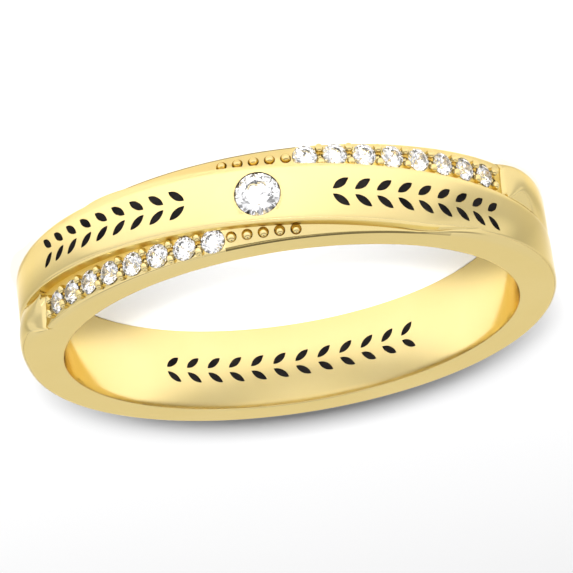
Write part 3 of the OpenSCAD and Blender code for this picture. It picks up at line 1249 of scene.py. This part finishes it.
@dataclass
class KeptPieces:
    """Pieces that stay as the frame has them and only get a finish."""

    finish: Finish
    word: str

    def dress(self, nodes: dict[str, Piece]) -> int:
        """Gives the finish to every piece that has the word in its name.

        Args:
            nodes: the frame's nodes.

        Returns:
            The number of pieces.
        """
        found = [piece for name, piece in nodes.items() if self.word in name]
        for piece in found:
            self.finish.dress(piece)
        return len(found)


@dataclass
class Stones(KeptPieces):
    """The cut stones."""

    finish: Finish = field(default_factory=ClearStone)
    word: str = "stone"


@dataclass
class Enamel(KeptPieces):
    """The enamel sprigs."""

    finish: Finish = field(default_factory=BlackEnamel)
    word: str = "leaves"


@dataclass
class Studio:
    """Floor, lights, surroundings and camera."""

    floor_z: float = -0.001712
    elevation: float = 20.12
    azimuth: float = -2.77
    roll: float = 171.30
    distance: float = 0.1038
    focal_px: float = 2738.16
    centre_px: Point = (286.48, 291.10)
    frame_px: float = 573.0
    front_elevation: float = 15.5
    front_distance: float = 0.6
    front_level: float = 1.35
    back_level: float = 1.08
    fill_level: float = 0.2
    back_over: Point = (-0.25, 0.25)
    band_low: Point = (0.36, 0.46)
    band_high: Point = (0.68, 0.58)
    band_depth: float = 0.85
    zenith: Point = (0.9, 1.0111)
    zenith_depth: float = 0.96
    front_size: Point = (0.14, 0.04)
    spot_height: float = 0.22
    spot_r: float = 0.008
    sensor_mm: float = 36.0
    front_power: float = 14.0
    # Each spot: name, y of the lit place, how far behind it the spot hangs, angle, softness, power
    spots: tuple[tuple[str, float, float, float, float, float], ...] = (
        ("front_spot", -0.015, 0.09, 6.4, 1.0, 2.4),
        ("hole_fill", -0.0005, 0.0, 5.7, 0.15, 1.8),
        ("hole_spot", 0.0062, 0.0, 2.8, 1.0, 1.0),
    )

    def floor(self) -> None:
        """Lays the floor."""
        deselect()
        bpy.ops.mesh.primitive_plane_add(size=1.6, location=(0, 0, self.floor_z))
        floor = bpy.context.object
        floor.name = "floor"
        bpy.ops.object.transform_apply()
        PaleFloor().dress(floor)

    def hang(self, kind: str, name: str, at: Vector, aim: Vector, power: float, settings: dict[str, object]) -> None:
        """Hangs one light that polished metal doesn't show.

        Args:
            kind: the light's type.
            name: name of the light.
            at: its place in metres.
            aim: the point it faces.
            power: its power in watts.
            settings: its other settings.
        """
        light = bpy.data.lights.new(name, kind)
        light.energy = power
        for key, value in settings.items():
            setattr(light, key, value)
        made = bpy.data.objects.new(name, light)
        bpy.context.scene.collection.objects.link(made)
        made.location = at
        made.rotation_euler = (aim - at).to_track_quat("-Z", "Y").to_euler()
        made.visible_glossy = False

    def lights(self) -> None:
        """Hangs the low front light and the overhead spots."""
        low = radians(self.front_elevation)
        front = Vector((-0.02, -self.front_distance * cos(low), self.front_distance * sin(low)))
        settings = {"shape": "RECTANGLE", "size": self.front_size[0], "size_y": self.front_size[1]}
        self.hang("AREA", "front_light", front, Vector((0, 0, 0)), self.front_power, settings)
        for name, y, behind, width, blend, power in self.spots:
            aim = Vector((0, y, self.floor_z))
            settings = {"spot_size": radians(width), "spot_blend": blend, "shadow_soft_size": self.spot_r}
            self.hang("SPOT", name, aim + Vector((0, behind, self.spot_height)), aim, power, settings)

    def surroundings(self) -> None:
        """Fills the world with soft studio light, brighter low down behind the ring."""
        world = bpy.data.worlds.new("studio")
        bpy.context.scene.world = world
        world.use_nodes = True
        sheet = NodeSheet(world.node_tree)
        way = sheet.node("ShaderNodeTexCoord", output="Generated")
        apart = sheet.node("ShaderNodeSeparateXYZ", None, {0: way}).socket.node.outputs
        y, z = Signal(sheet, apart[1]), Signal(sheet, apart[2])
        back = y.share(*self.back_over)
        gap = z.share(*self.band_low) * z.share(*self.band_high)
        front = self.front_level * (1.0 - self.band_depth * gap)
        shown = (front + back * (self.back_level - front)) * (1.0 - self.zenith_depth * z.share(*self.zenith))
        diffuse = sheet.node("ShaderNodeLightPath", output="Is Diffuse Ray")
        level = shown + diffuse * (self.fill_level - shown)
        glow = sheet.node("ShaderNodeBackground", None, {"Color": (1.0, 1.0, 1.0, 1.0), "Strength": level})
        sheet.node_out("ShaderNodeOutputWorld", glow)

    def camera(self) -> None:
        """Sets up the camera at the photograph's angle."""
        el, az, roll = (radians(v) for v in (self.elevation, self.azimuth, self.roll))
        out = Vector((sin(az) * cos(el), -cos(az) * cos(el), sin(el)))
        right = (-out).cross(Vector((0, 0, 1))).normalized()
        up = right.cross(-out)
        across = cos(roll) * right + sin(roll) * up
        upward = -sin(roll) * right + cos(roll) * up
        lens = bpy.data.cameras.new("camera")
        lens.sensor_width = self.sensor_mm
        lens.lens = self.focal_px / self.frame_px * lens.sensor_width
        lens.shift_x = (self.frame_px / 2 - self.centre_px[0]) / self.frame_px
        lens.shift_y = (self.centre_px[1] - self.frame_px / 2) / self.frame_px
        lens.clip_start = 0.005
        made = bpy.data.objects.new("camera", lens)
        bpy.context.scene.collection.objects.link(made)
        turn = Matrix((across, upward, out)).transposed().to_4x4()
        made.matrix_world = Matrix.Translation(out * self.distance) @ turn
        bpy.context.scene.camera = made

    def build(self) -> None:
        """Sets up the whole studio."""
        self.floor()
        self.lights()
        self.surroundings()
        self.camera()
        bpy.context.scene.view_settings.view_transform = "Standard"


def main() -> None:
    """Builds the classes in order and reports each piece."""
    logging.basicConfig(level=logging.INFO, format="%(message)s")
    metal = Band().build()
    log.info("%s: %d faces", metal.name, len(metal.data.polygons))
    log.info("stones: %d", Stones().dress(frame["nodes"]))
    log.info("sprigs: %d", Enamel().dress(frame["nodes"]))
    Studio().build()


if __name__ == "__main__":
    main()
